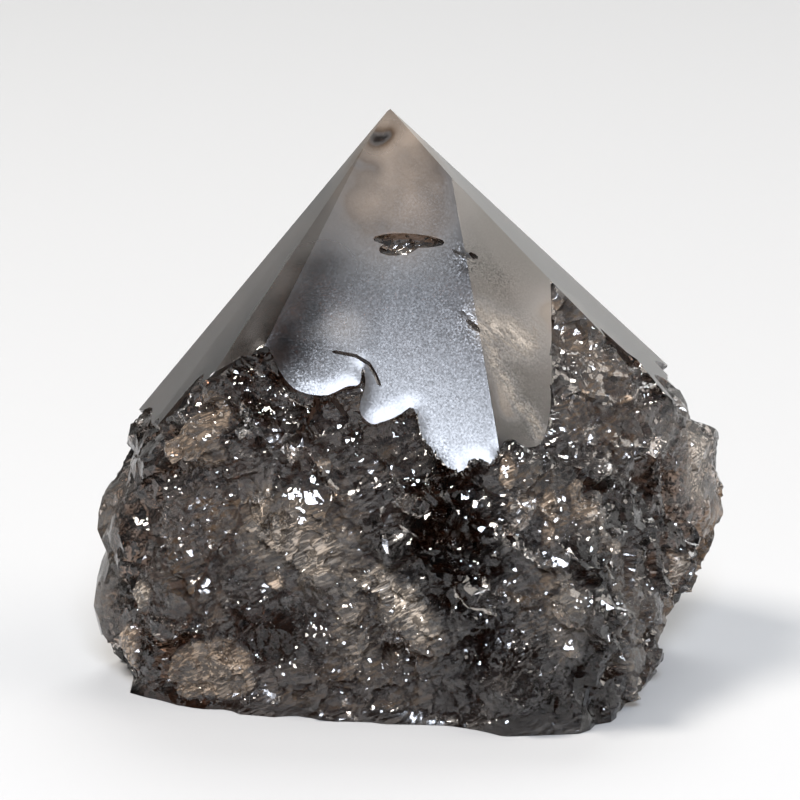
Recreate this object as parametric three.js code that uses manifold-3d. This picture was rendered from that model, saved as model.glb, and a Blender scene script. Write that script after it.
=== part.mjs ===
// Smoky quartz point: one natural lump of crystal with broken, crumbly sides, a flat sawn base
// and a top that was ground and polished to a point.
// Millimetres, +Z up. The best side faces -Y, and the origin is the middle of the base.
import * as THREE from "three";
import { ImprovedNoise } from "three/addons/math/ImprovedNoise.js";
import { mergeVertices } from "three/addons/utils/BufferGeometryUtils.js";
import Module from "manifold-3d";

const wasm = await Module();
wasm.setup();

// Driving dimensions of the whole stone
const TIP = new THREE.Vector3(-2, 3, 70);
const HEART = new THREE.Vector3(0, 2, 24);
const BLOCK = 160;
const SPHERE_DETAIL = 22;
const MERGE_DISTANCE = 1e-4;

// Depth of the broken lips, and of the shoulders that run on almost level from the faces at the sides
const LIP_DROP = 1.7;
const SHOULDER_DROP = 0.55;

// Polished faces: azimuth from the front towards the right and slope from level, both in degrees,
// how far outside the tip each face's plane passes, and how far the broken skin lies under it.
const POLISHED_FACES = {
  front: { azimuth: 0, slope: 58, clear: 0, drop: LIP_DROP },
  frontLeft: { azimuth: -35, slope: 50.4, clear: 0.36, drop: LIP_DROP },
  left: { azimuth: -82, slope: 52, clear: 0.16, drop: SHOULDER_DROP },
  backLeft: { azimuth: -132, slope: 55.5, clear: 0, drop: LIP_DROP },
  back: { azimuth: 176, slope: 54, clear: 0.5, drop: LIP_DROP },
  backRight: { azimuth: 140, slope: 48.8, clear: 0, drop: LIP_DROP },
  right: { azimuth: 87, slope: 44.9, clear: 0, drop: SHOULDER_DROP },
  frontRight: { azimuth: 25, slope: 57, clear: 2.05, drop: SHOULDER_DROP },
};

// How deep a polished slab goes into the lump, how far it runs up past the tip,
// and the straight steps between two points of its border
const SLAB_DEPTH = 9;
const SLAB_RISE = 6;
const BORDER_STEPS = 3;

// Broken sides: azimuth and rise of the face's normal in degrees, and its distance from the heart
const BROKEN_SIDES = [
  { azimuth: -13, rise: 0, reach: 21.2 },
  { azimuth: -49, rise: 2, reach: 29.6 },
  { azimuth: -88, rise: 20, reach: 33.4 },
  { azimuth: -95, rise: -30, reach: 42.8 },
  { azimuth: 68, rise: -3, reach: 30.9 },
  { azimuth: 108, rise: 5, reach: 42.4 },
  { azimuth: 110, rise: -42, reach: 38.6 },
  { azimuth: 100, rise: -14, reach: 39.2 },
  { azimuth: 150, rise: 2, reach: 31 },
  { azimuth: -174, rise: 4, reach: 22.6 },
  { azimuth: -134, rise: -3, reach: 30.5 },
];
const CORNER_SHARPNESS = 20;

// Lumps (positive height) and hollows (negative height) that break up the sides
const LUMPS = [
  { name: "pale knob on the left", at: [-25, -11, 33], radius: 4.5, height: 2.2 },
  { name: "hollow beside the knob", at: [-16, -13, 37], radius: 4.5, height: -2.4 },
  { name: "hollow under the middle lip", at: [-6, -17, 32], radius: 6, height: -2.2 },
  { name: "ridged columns on the right", at: [20, -21, 23], radius: 5, height: 1.3 },
  { name: "tan bump on the right edge", at: [36.5, 14, 17.5], radius: 4, height: 2.6 },
  { name: "round shoulder on the right", at: [33, 14, 34], radius: 4.5, height: 1.1 },
  { name: "hollow in the right face", at: [31, -4, 24], radius: 6, height: -1.4 },
  { name: "oval plate at the lower left", at: [-24, -14, 6], radius: 6, height: 1.3 },
  { name: "small lump on the left", at: [-32, -6, 13], radius: 2.5, height: 1 },
  { name: "scoop in the middle", at: [-10, -18, 16], radius: 7, height: -1.4 },
  { name: "swell at the lower right", at: [12, -22, 9], radius: 8, height: 1 },
  { name: "scoop at the back", at: [6, 27, 20], radius: 9, height: -2 },
  { name: "lump at the back left", at: [-24, 22, 14], radius: 6, height: 1.8 },
];

// Chips: flakes broken off at random, spaced and tilted by size
const CHIP_SIZES = [
  { count: 150, step: 0.65, tilt: 0.24, seed: 14 },
  { count: 560, step: 0.3, tilt: 0.26, seed: 29 },
];
const CHIP_WANDER = 0.6;
const CRUMBLE = { height: 0.25, size: 2.6 };

// Outlines of the polished areas, each on its own face: across to the right and down the slope
// from the tip. The front one ends below in three broken lips with notches between them.
const FRONT_LIPS = [
  [-22, 33],
  [-16.5, 30.6],
  [-14.4, 30.2],
  [-12.9, 33.3],
  [-11, 35.5],
  [-7.7, 36.2],
  [-5.1, 35.1],
  [-3.6, 34.8],
  [-3.3, 32.8],
  [-2.9, 34.8],
  [-3.6, 38],
  [-2.2, 39.7],
  [-0.6, 39.3],
  [1, 38.6],
  [2.6, 37.7],
  [3.3, 39.6],
  [3.7, 41.3],
  [5.4, 43.5],
  [7.9, 45.6],
  [9.7, 44.2],
  [12.1, 44.4],
  [13.8, 41.4],
  [16.1, 42.2],
  [18.1, 40.9],
  [19, 36],
  [18.6, 31.9],
  [19.1, 27.9],
  [18.9, 23],
];
const LEFT_BORDER = [
  [13.5, 32.5],
  [11, 35],
  [6.5, 40],
  [4.9, 44],
  [2.7, 47.3],
  [-3, 46.5],
  [-9, 48.5],
  [-16, 47],
];
const RIGHT_BORDER = [
  [-16, 25],
  [-11.2, 27.7],
  [-6, 36.5],
  [-2.8, 41],
  [1, 44.5],
  [7, 45.5],
  [13, 48],
  [19, 46],
];
const BACK_BORDER = [
  [-26, 40],
  [-19, 36],
  [-12, 39.5],
  [-5, 36.5],
  [2, 40],
  [9, 37],
  [16, 40.5],
  [26, 38],
];

// Pits in the polished front: place on the face, half sizes across, down and into it, and turn in degrees
const PITS = [
  { across: 2.2, down: 17, half: [4.3, 0.9, 0.9], turn: -3 },
  { across: 1, down: 17.9, half: [2.4, 1, 1], turn: 8 },
  { across: 11, down: 19, half: [1.9, 0.7, 0.6], turn: -20 },
  { across: 10.4, down: 14.4, half: [1.3, 0.6, 0.5], turn: 35 },
  { across: 9.8, down: 27.6, half: [1.2, 0.3, 0.4], turn: -42 },
];
const PIT_DETAIL = 2;

const smokyQuartz = new THREE.MeshStandardMaterial({
  name: "smoky quartz",
  color: 0x43372f,
  roughness: 0.3,
  metalness: 0,
});

/** Unit vector that looks out along an azimuth (degrees from the front) and a rise above level. */
function outward(azimuth, rise) {
  const turn = THREE.MathUtils.degToRad(azimuth);
  const lift = THREE.MathUtils.degToRad(rise);
  return new THREE.Vector3(
    Math.cos(lift) * Math.sin(turn),
    -Math.cos(lift) * Math.cos(turn),
    Math.sin(lift),
  );
}

/** A polished face: its normal, its across and down directions, and the point of its plane by the tip. */
function facePlane({ azimuth, slope, clear, drop }) {
  const normal = outward(azimuth, 90 - slope);
  const across = outward(azimuth + 90, 0);
  const down = new THREE.Vector3().crossVectors(across, normal);
  const origin = TIP.clone().addScaledVector(normal, clear);
  return { normal, across, down, origin, drop };
}

/** Random numbers from 0 to 1 that repeat for a given seed. */
function seededRandom(seed) {
  let state = seed;
  return () => {
    state = (state + 0x6d2b79f5) | 0;
    let mixed = Math.imul(state ^ (state >>> 15), 1 | state);
    mixed = (mixed + Math.imul(mixed ^ (mixed >>> 7), 61 | mixed)) ^ mixed;
    return ((mixed ^ (mixed >>> 14)) >>> 0) / 4294967296;
  };
}

/** A closed geometry as a solid that can be joined and cut. */
function solidOf(geometry) {
  const bare = new THREE.BufferGeometry();
  bare.setAttribute("position", geometry.getAttribute("position"));
  bare.setIndex(geometry.index);
  const merged = mergeVertices(bare, MERGE_DISTANCE);
  return new wasm.Manifold(
    new wasm.Mesh({
      numProp: 3,
      vertProperties: new Float32Array(merged.getAttribute("position").array),
      triVerts: new Uint32Array(merged.index.array),
    }),
  );
}

/** A solid as a geometry for a mesh. */
function geometryOf(solid) {
  const { vertProperties, triVerts } = solid.getMesh();
  const geometry = new THREE.BufferGeometry();
  geometry.setAttribute("position", new THREE.BufferAttribute(vertProperties, 3));
  geometry.setIndex(new THREE.BufferAttribute(triVerts, 1));
  geometry.computeVertexNormals();
  return geometry;
}

const facePlanes = Object.fromEntries(
  Object.entries(POLISHED_FACES).map(([name, face]) => [name, facePlane(face)]),
);

const brokenSides = BROKEN_SIDES.map(({ azimuth, rise, reach }) => ({
  normal: outward(azimuth, rise),
  reach,
}));

// The polished planes dropped by the lip, seen from the heart
const droppedFaces = Object.values(facePlanes).map(({ normal, origin, drop }) => ({
  normal,
  reach: origin.clone().sub(HEART).dot(normal) - drop,
}));

/** Point where the smooth skin of the lump is met from the heart. */
function skinPoint(direction) {
  const nearness = ({ normal, reach }) => Math.max(0, normal.dot(direction) / reach);
  const top = Math.max(...droppedFaces.map(nearness));
  let sum = top ** CORNER_SHARPNESS;
  for (const side of brokenSides) sum += nearness(side) ** CORNER_SHARPNESS;
  return HEART.clone().addScaledVector(direction, sum ** (-1 / CORNER_SHARPNESS));
}

/** Flakes of one size, spread evenly over the skin, each with its own step and tilt. */
function scatterChips({ count, step, tilt, seed }) {
  const random = seededRandom(seed);
  const spread = () => 2 * random() - 1;
  const goldenTurn = Math.PI * (3 - Math.sqrt(5));
  return Array.from({ length: count }, (_, i) => {
    const height = 1 - (2 * (i + random())) / count;
    const girth = Math.sqrt(1 - height * height);
    const turn = goldenTurn * (i + CHIP_WANDER * spread());
    const direction = new THREE.Vector3(girth * Math.cos(turn), girth * Math.sin(turn), height);
    return {
      at: skinPoint(direction),
      step: step * spread(),
      tilt: new THREE.Vector3(spread(), spread(), spread()).multiplyScalar(tilt),
    };
  });
}

const chipLayers = CHIP_SIZES.map(scatterChips);
const noise = new ImprovedNoise();

/** How far chips, lumps and crumble move a point of the skin outwards. */
function relief(point) {
  let height = 0;
  for (const chips of chipLayers) {
    let nearest = chips[0];
    for (const chip of chips) {
      if (chip.at.distanceToSquared(point) < nearest.at.distanceToSquared(point)) nearest = chip;
    }
    height += nearest.step + nearest.tilt.dot(point.clone().sub(nearest.at));
  }
  for (const lump of LUMPS) {
    const away = point.distanceTo(new THREE.Vector3(...lump.at)) / lump.radius;
    height += lump.height * Math.exp(-away * away);
  }
  const grain = point.clone().divideScalar(CRUMBLE.size);
  return height + CRUMBLE.height * noise.noise(grain.x, grain.y, grain.z);
}

/** The whole stone before grinding: a sphere drawn out to the broken skin. */
function brokenLump() {
  const sphere = new THREE.IcosahedronGeometry(1, SPHERE_DETAIL);
  const place = sphere.getAttribute("position");
  for (let i = 0; i < place.count; i += 1) {
    const direction = new THREE.Vector3().fromBufferAttribute(place, i).normalize();
    const skin = skinPoint(direction);
    const moved = skin.clone().addScaledVector(direction, relief(skin));
    place.setXYZ(i, ...moved);
  }
  return solidOf(sphere);
}

/** Matrix that lays X across a face, Y up its slope and Z out of it. */
function faceMatrix({ normal, across, down, origin }) {
  const up = down.clone().negate();
  return new THREE.Matrix4().makeBasis(across, up, normal).setPosition(origin);
}

/** A slab under a polished face: its border below, and closed above past the tip. */
function polishedSlab(face, border) {
  const shape = new THREE.Shape();
  shape.moveTo(border[0][0], SLAB_RISE);
  shape.lineTo(border[0][0], -border[0][1]);
  shape.splineThru(border.slice(1).map(([across, down]) => new THREE.Vector2(across, -down)));
  shape.lineTo(border.at(-1)[0], SLAB_RISE);
  const slab = new THREE.ExtrudeGeometry(shape, {
    depth: SLAB_DEPTH,
    bevelEnabled: false,
    curveSegments: BORDER_STEPS,
  });
  slab.translate(0, 0, -SLAB_DEPTH);
  slab.applyMatrix4(faceMatrix(face));
  return solidOf(slab);
}

/** Everything on the outer side of a face's plane. */
function grindingBlock(face) {
  const block = new THREE.BoxGeometry(BLOCK, BLOCK, BLOCK);
  block.translate(0, 0, BLOCK / 2);
  block.applyMatrix4(faceMatrix(face));
  return solidOf(block);
}

/** A shallow pit broken out of the front face. */
function pit({ across, down, half, turn }) {
  const hollow = new THREE.IcosahedronGeometry(1, PIT_DETAIL);
  hollow.scale(...half);
  hollow.rotateZ(THREE.MathUtils.degToRad(turn));
  hollow.translate(across, -down, 0);
  hollow.applyMatrix4(faceMatrix(facePlanes.front));
  return solidOf(hollow);
}

/** The finished stone: lump and polished slabs joined, ground to the faces, pitted and sawn flat below. */
function crystalSolid() {
  let stone = brokenLump();
  stone = stone.add(polishedSlab(facePlanes.front, FRONT_LIPS));
  stone = stone.add(polishedSlab(facePlanes.left, LEFT_BORDER.toReversed()));
  stone = stone.add(polishedSlab(facePlanes.right, RIGHT_BORDER));
  for (const name of ["backLeft", "back", "backRight"]) {
    stone = stone.add(polishedSlab(facePlanes[name], BACK_BORDER));
  }
  for (const face of Object.values(facePlanes)) {
    stone = stone.subtract(grindingBlock(face));
  }
  for (const hollow of PITS) {
    stone = stone.subtract(pit(hollow));
  }
  const underside = new THREE.BoxGeometry(BLOCK, BLOCK, BLOCK).translate(0, 0, -BLOCK / 2);
  return stone.subtract(solidOf(underside));
}

/** Moves a geometry so that the middle of its box stands over the origin. */
function centred(geometry) {
  geometry.computeBoundingBox();
  const middle = geometry.boundingBox.getCenter(new THREE.Vector3());
  return geometry.translate(-middle.x, -middle.y, 0);
}

const crystal = new THREE.Mesh(centred(geometryOf(crystalSolid())), smokyQuartz);
crystal.name = "crystal";

const stone = new THREE.Group();
stone.add(crystal);

export default stone;
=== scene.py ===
"""Smoky quartz point: a broken lump of smoky quartz with a ground and polished top, on a pale studio floor.

Sizes are in millimetres in the classes below and are turned to metres where meshes are made.
"""

import heapq
import itertools
import logging
import math
from dataclasses import dataclass, field
from enum import Enum
from typing import Any

import bmesh
import bpy
import numpy as np
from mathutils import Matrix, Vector, noise
from mathutils.geometry import delaunay_2d_cdt
from mathutils.kdtree import KDTree


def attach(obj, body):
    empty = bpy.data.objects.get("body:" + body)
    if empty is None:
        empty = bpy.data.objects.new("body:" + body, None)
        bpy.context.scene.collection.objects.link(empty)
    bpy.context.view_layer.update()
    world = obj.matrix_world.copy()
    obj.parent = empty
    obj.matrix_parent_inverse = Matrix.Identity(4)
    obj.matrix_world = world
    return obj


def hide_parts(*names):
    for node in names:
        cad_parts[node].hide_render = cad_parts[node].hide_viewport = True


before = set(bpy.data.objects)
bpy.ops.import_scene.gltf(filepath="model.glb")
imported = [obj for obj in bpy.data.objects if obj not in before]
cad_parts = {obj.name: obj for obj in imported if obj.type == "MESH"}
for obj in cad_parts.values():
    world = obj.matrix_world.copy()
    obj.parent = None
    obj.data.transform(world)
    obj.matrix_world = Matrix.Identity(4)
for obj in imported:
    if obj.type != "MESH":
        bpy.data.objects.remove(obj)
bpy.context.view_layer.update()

MM = 0.001
log = logging.getLogger("smoky_quartz_point")

Links = dict[str | int, Any]
Point = tuple[float, float, float]


def linear(hex_colour: str) -> tuple[float, float, float, float]:
    """Turns an sRGB hex colour to a linear colour.

    Args:
        hex_colour: Six hex digits, such as "d9d2c8".

    Returns:
        Red, green, blue and alpha from 0 to 1.
    """
    parts = [int(hex_colour[i:i + 2], 16) / 255 for i in (0, 2, 4)]
    red, green, blue = [p / 12.92 if p <= 0.04045 else ((p + 0.055) / 1.055) ** 2.4 for p in parts]
    return red, green, blue, 1.0


def add_node(tree: bpy.types.NodeTree, kind: str, settings: dict[str, Any], links: Links) -> bpy.types.Node:
    """Adds a node with its settings and links.

    Args:
        tree: Node tree that gets the node.
        kind: Blender's type name of the node.
        settings: Properties of the node by name.
        links: Inputs by name or number, each a plain value or the output that feeds it.

    Returns:
        The new node.
    """
    node = tree.nodes.new(kind)
    for name, value in settings.items():
        setattr(node, name, value)
    for name, value in links.items():
        if isinstance(value, bpy.types.NodeSocket):
            tree.links.new(value, node.inputs[name])
        else:
            node.inputs[name].default_value = value
    return node


def chip_height(tree: bpy.types.NodeTree, place: Any, per_metre: Any, step: Any, tilt: Any) -> Any:
    """Adds nodes for a skin of flat chips, each with its own height and lean.

    Args:
        tree: Shader or geometry tree.
        place: Output with the position in metres.
        per_metre: Chips in a metre.
        step: Largest height of a chip over the mean, in metres.
        tilt: Largest slope of a chip.

    Returns:
        The output with the height in metres.
    """
    cells = add_node(tree, "ShaderNodeTexVoronoi", {}, {"Vector": place, "Scale": per_metre})
    span, least = (2, 2, 2), (-1, -1, -1)
    lot = add_node(tree, "ShaderNodeVectorMath", {"operation": "MULTIPLY_ADD"},
                   {0: cells.outputs["Color"], 1: span, 2: least})
    away = add_node(tree, "ShaderNodeVectorMath", {"operation": "SUBTRACT"},
                    {0: place, 1: cells.outputs["Position"]})
    lean = add_node(tree, "ShaderNodeVectorMath", {"operation": "DOT_PRODUCT"},
                    {0: away.outputs["Vector"], 1: lot.outputs["Vector"]})
    rise = add_node(tree, "ShaderNodeSeparateXYZ", {}, {"Vector": lot.outputs["Vector"]})
    slope = add_node(tree, "ShaderNodeMath", {"operation": "MULTIPLY"}, {0: lean.outputs["Value"], 1: tilt})
    height = add_node(tree, "ShaderNodeMath", {"operation": "MULTIPLY_ADD"},
                      {0: rise.outputs["X"], 1: step, 2: slope.outputs["Value"]})
    return height.outputs["Value"]


def distance_from(path: tuple[Point, ...], places: np.ndarray) -> np.ndarray:
    """Measures how far places are from a line of straight pieces, or from a single point.

    Args:
        path: Points of the line.
        places: Places to measure, one in a row.

    Returns:
        One distance for each place.
    """
    nearest = np.linalg.norm(places - np.array(path[0]), axis=1)
    for start, end in zip(path, path[1:]):
        way = np.array(end) - np.array(start)
        along = np.clip((places - start) @ way / (way @ way), 0, 1)
        off = places - start - along[:, None] * way
        nearest = np.minimum(nearest, np.linalg.norm(off, axis=1))
    return nearest


@dataclass(frozen=True)
class Drift:
    """Smooth random swells over the stone.

    Attributes:
        size: Width of a swell in millimetres.
        shift: Moves the swells, so that two kinds differ.
        gain: How far they swing to each side of the level.
        level: Middle value.
        most: Largest value, where the smallest is 0.
    """

    size: float
    shift: float
    gain: float
    level: float
    most: float

    def at(self, places: np.ndarray) -> np.ndarray:
        """Gives the swells at some places.

        Args:
            places: Places in millimetres, one in a row.

        Returns:
            One value for each place.
        """
        start = Vector((self.shift, self.shift, self.shift))
        calm, finer, layers = 1.0, 2.0, 3
        spots = [Vector(p) / self.size + start for p in places]
        waves = np.array([noise.fractal(spot, calm, finer, layers) for spot in spots])
        return np.clip(self.gain * waves + self.level, 0, self.most)


class Tint(Enum):
    """Colour of a pale patch: 0 for milky fractures, 1 for tan iron stain."""

    MILKY = 0.0
    BEIGE = 0.5
    TAN = 1.0


class Kind(Enum):
    """What a patch does to the stone."""

    CLOUD = "soft milky cloud under the skin"
    PLATE = "flake that stands proud of the skin with a crisp edge"
    FROST = "dusty skin full of fine scratches"
    GLINT = "cluster of small bright flakes"
    RIBS = "upright ribs"
    CALM = "smooth skin without chips"
    GLOSS = "clear window with a higher polish"


@dataclass(frozen=True)
class PolishedFace:
    """A ground and polished face through the tip.

    Attributes:
        name: Where the face looks.
        azimuth: Degrees from the front towards the right.
        slope: Degrees from level.
        bulge: Height of the middle of the face over its flat, in millimetres.
        right_end: How far to the right the face counts as polished, in millimetres.
    """

    name: str
    azimuth: float
    slope: float
    bulge: float
    right_end: float = math.inf

    @property
    def across(self) -> Vector:
        """Unit vector to the right along the face."""
        turn = math.radians(self.azimuth)
        return Vector((math.cos(turn), math.sin(turn), 0))

    @property
    def normal(self) -> Vector:
        """Unit vector out of the face."""
        turn, lift = math.radians(self.azimuth), math.radians(90 - self.slope)
        level = math.cos(lift)
        return Vector((level * math.sin(turn), -level * math.cos(turn), math.sin(lift)))

    @property
    def up(self) -> Vector:
        """Unit vector up the slope."""
        return self.normal.cross(self.across)


@dataclass(frozen=True)
class Patch:
    """A spot or streak of the stone that looks different from the rest.

    Attributes:
        name: What the patch is.
        kind: What it does.
        path: Points along its middle, in millimetres.
        reach: Half width in millimetres.
        strength: How strong the middle is, from 0 to 1, or below 0 for a clear window in a cloud.
        tint: Colour of a cloud or a plate.
    """

    name: str
    kind: Kind
    path: tuple[Point, ...]
    reach: float
    strength: float
    tint: Tint = Tint.MILKY


@dataclass(frozen=True)
class Groove:
    """A crack or a scratch in a polished face.

    Attributes:
        name: What the groove is.
        face: Number of the face, from 1.
        path: Points along it, in millimetres.
        width: Half width in millimetres.
        depth: Depth in millimetres.
    """

    name: str
    face: int
    path: tuple[Point, ...]
    width: float
    depth: float


@dataclass(frozen=True)
class ChipLayer:
    """One size of broken chips.

    Attributes:
        name: Name of the size.
        size: Width of a chip in millimetres.
        step: Largest height over the mean in millimetres.
        tilt: Largest slope.
    """

    name: str
    size: float
    step: float
    tilt: float


@dataclass(frozen=True)
class SmokyQuartz:
    """Smoky quartz, naturally broken below and ground to a satin above.

    The clear brown glass of the stone goes almost black in depth and tan at thin edges. Broken faces
    are glassy with clusters of glints and dusty scratches, ground faces are satin, and fractures
    inside show as milky clouds. The real grains, flakes and scratches are a few hundredths of a
    millimetre wide and are drawn coarser, so that they show.

    Attributes:
        smoke: Colour that light takes in the depth of the stone.
        smoke_per_metre: How fast it takes that colour.
        clear: Colour of the clear skin.
        milky: Colour of fresh fractures.
        tan: Colour of fractures with iron stain.
        cover: How soon a cloud has its full colour.
        ior: Index of refraction of quartz.
        polished_roughness: Roughness of the satin faces.
        glossy_roughness: Roughness of the clear windows in them.
        broken_roughness: Roughness of clean fractures.
        frosted_roughness: Roughness of dusty fractures.
        frost_veil: Milkiness of the dust.
        grain_size: Width of a grain of the satin in millimetres.
        grain_tilt: Lean of the grains.
        speckle_tilt: Lean of the grains where the satin glitters.
        flake_size: Width of a flake of a fracture in millimetres.
        flake_tilt: Lean of the flakes.
        glint_tilt: Lean of the flakes where they glint.
        scratch_size: Width of a scratch in millimetres.
        scratch_length: Length of a scratch in widths.
        scratch_turn: Turn of the scratches in fractures, in degrees.
        polish_turn: Turn of the scratches under polish, in degrees.
        fibre_detail: Layers of finer fibres between the scratches.
        fibre_bend: How far the fibres bend.
        fibre_start: Noise where a fibre begins.
        fibre_full: Noise where a fibre is full.
        torn_gain: How much a fibre adds to a cloud.
        torn_least: What is left of a cloud between fibres.
    """

    smoke: str = "a68769"
    smoke_per_metre: float = 160.0
    clear: str = "f4f1ee"
    milky: str = "aca194"
    tan: str = "8a6f55"
    cover: float = 8.0
    ior: float = 1.544
    polished_roughness: float = 0.28
    glossy_roughness: float = 0.12
    broken_roughness: float = 0.06
    frosted_roughness: float = 0.2
    frost_veil: float = 0.07
    grain_size: float = 0.22
    grain_tilt: float = 0.08
    speckle_tilt: float = 0.4
    flake_size: float = 0.4
    flake_tilt: float = 0.08
    glint_tilt: float = 0.75
    scratch_size: float = 0.36
    scratch_length: float = 6.0
    scratch_turn: float = -25.0
    polish_turn: float = 50.0
    fibre_detail: float = 2.0
    fibre_bend: float = 0.6
    fibre_start: float = 0.44
    fibre_full: float = 0.66
    torn_gain: float = 1.3
    torn_least: float = 0.35

    def material(self) -> bpy.types.Material:
        """Makes the stone's one material.

        Returns:
            The material, which reads the face attribute polish and the point attributes veil, warmth,
            frost, glint and gloss.
        """
        material = bpy.data.materials.new("smoky quartz broken and ground")
        material.use_nodes = True
        tree = material.node_tree
        tree.nodes.clear()
        place = add_node(tree, "ShaderNodeTexCoord", {}, {}).outputs["Object"]
        marks = {
            name: add_node(tree, "ShaderNodeAttribute", {"attribute_name": name}, {}).outputs["Fac"]
            for name in ("polish", "veil", "warmth", "frost", "glint", "gloss")
        }
        scratches = self.scratches(tree, place, marks)
        veil = self.veil(tree, marks, scratches)
        pale = add_node(tree, "ShaderNodeMix", {"data_type": "RGBA"},
                        {"Factor": marks["warmth"], 6: linear(self.milky), 7: linear(self.tan)}).outputs[2]
        covered = add_node(tree, "ShaderNodeMath", {"operation": "MULTIPLY", "use_clamp": True},
                           {0: veil, 1: self.cover})
        colour = add_node(tree, "ShaderNodeMix", {"data_type": "RGBA"},
                          {"Factor": covered.outputs["Value"], 6: linear(self.clear), 7: pale}).outputs[2]
        clear = add_node(tree, "ShaderNodeMath", {"operation": "SUBTRACT"}, {0: 1.0, 1: veil})
        shader = add_node(tree, "ShaderNodeBsdfPrincipled", {}, {
            "Base Color": colour,
            "Roughness": self.roughness(tree, marks),
            "IOR": self.ior,
            "Transmission Weight": clear.outputs["Value"],
            "Normal": self.normal(tree, place, marks),
        })
        smoke = add_node(tree, "ShaderNodeVolumeAbsorption", {},
                         {"Color": linear(self.smoke), "Density": self.smoke_per_metre})
        add_node(tree, "ShaderNodeOutputMaterial", {},
                 {"Surface": shader.outputs["BSDF"], "Volume": smoke.outputs["Volume"]})
        return material

    def scratches(self, tree: bpy.types.NodeTree, place: Any, marks: dict[str, Any]) -> Any:
        """Adds nodes for fine fibres: they run up to the right in fractures, and down to it under polish.

        Args:
            tree: The material's tree.
            place: Output with the position in metres.
            marks: Outputs of the stone's attributes by name.

        Returns:
            The output with the fibres from 0 to 1.
        """
        turn = add_node(tree, "ShaderNodeMapRange", {}, {
            "Value": marks["polish"],
            "To Min": math.radians(self.scratch_turn),
            "To Max": math.radians(self.polish_turn),
        })
        around = add_node(tree, "ShaderNodeCombineXYZ", {}, {"Y": turn.outputs["Result"]})
        drawn = add_node(tree, "ShaderNodeMapping", {"vector_type": "TEXTURE"}, {
            "Vector": place,
            "Rotation": around.outputs["Vector"],
            "Scale": (self.scratch_length, 1, 1),
        })
        fibres = add_node(tree, "ShaderNodeTexNoise", {}, {
            "Vector": drawn.outputs["Vector"],
            "Scale": 1 / (self.scratch_size * MM),
            "Detail": self.fibre_detail,
            "Distortion": self.fibre_bend,
        })
        parted = add_node(tree, "ShaderNodeMapRange", {"interpolation_type": "SMOOTHSTEP"}, {
            "Value": fibres.outputs["Fac"],
            "From Min": self.fibre_start,
            "From Max": self.fibre_full,
        })
        return parted.outputs["Result"]

    def veil(self, tree: bpy.types.NodeTree, marks: dict[str, Any], scratches: Any) -> Any:
        """Adds nodes that tear the clouds into fibres and dust the frosted sides.

        Args:
            tree: The material's tree.
            marks: Outputs of the stone's attributes by name.
            scratches: Output with the fibres.

        Returns:
            The output with the milkiness from 0 to 1.
        """
        torn = add_node(tree, "ShaderNodeMath", {"operation": "MULTIPLY_ADD"},
                        {0: scratches, 1: self.torn_gain, 2: self.torn_least})
        whole = add_node(tree, "ShaderNodeMath", {"operation": "SUBTRACT"},
                         {0: marks["polish"], 1: marks["glint"]})
        held = add_node(tree, "ShaderNodeMix", {},
                        {"Factor": whole.outputs["Value"], 2: torn.outputs["Value"], 3: 1.0})
        cloud = add_node(tree, "ShaderNodeMath", {"operation": "MULTIPLY"},
                         {0: marks["veil"], 1: held.outputs[0]})
        dust = add_node(tree, "ShaderNodeMath", {"operation": "MULTIPLY"},
                        {0: marks["frost"], 1: scratches})
        milk = add_node(tree, "ShaderNodeMath", {"operation": "MULTIPLY_ADD", "use_clamp": True},
                        {0: dust.outputs["Value"], 1: self.frost_veil, 2: cloud.outputs["Value"]})
        return milk.outputs["Value"]

    def roughness(self, tree: bpy.types.NodeTree, marks: dict[str, Any]) -> Any:
        """Adds nodes for satin ground faces with glossy windows, glassy broken ones and dull frosted ones.

        Args:
            tree: The material's tree.
            marks: Outputs of the stone's attributes by name.

        Returns:
            The output with the roughness.
        """
        broken = add_node(tree, "ShaderNodeMapRange", {}, {
            "Value": marks["frost"], "To Min": self.broken_roughness, "To Max": self.frosted_roughness})
        ground = add_node(tree, "ShaderNodeMapRange", {}, {
            "Value": marks["gloss"], "To Min": self.polished_roughness, "To Max": self.glossy_roughness})
        return add_node(tree, "ShaderNodeMix", {}, {
            "Factor": marks["polish"], 2: broken.outputs["Result"], 3: ground.outputs["Result"]}).outputs[0]

    def normal(self, tree: bpy.types.NodeTree, place: Any, marks: dict[str, Any]) -> Any:
        """Adds nodes that lean the skin, flake by flake where broken and grain by grain where ground.

        Args:
            tree: The material's tree.
            place: Output with the position in metres.
            marks: Outputs of the stone's attributes by name.

        Returns:
            The output with the normal.
        """
        grain = add_node(tree, "ShaderNodeTexNoise", {},
                         {"Vector": place, "Scale": 1 / (self.grain_size * MM), "Detail": 0.0})
        flakes = add_node(tree, "ShaderNodeTexVoronoi", {},
                          {"Vector": place, "Scale": 1 / (self.flake_size * MM)})
        lot = add_node(tree, "ShaderNodeMix", {"data_type": "RGBA"}, {
            "Factor": marks["polish"], 6: flakes.outputs["Color"], 7: grain.outputs["Color"]}).outputs[2]
        mean = (0.5, 0.5, 0.5)
        way = add_node(tree, "ShaderNodeVectorMath", {"operation": "SUBTRACT"}, {0: lot, 1: mean})
        broken, ground = (
            add_node(tree, "ShaderNodeMapRange", {},
                     {"Value": marks["glint"], "To Min": low, "To Max": high})
            for low, high in ((self.flake_tilt, self.glint_tilt), (self.grain_tilt, self.speckle_tilt))
        )
        tilt = add_node(tree, "ShaderNodeMix", {}, {
            "Factor": marks["polish"], 2: broken.outputs["Result"], 3: ground.outputs["Result"]})
        lean = add_node(tree, "ShaderNodeVectorMath", {"operation": "SCALE"},
                        {0: way.outputs["Vector"], "Scale": tilt.outputs[0]})
        straight = add_node(tree, "ShaderNodeNewGeometry", {}, {}).outputs["Normal"]
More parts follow.
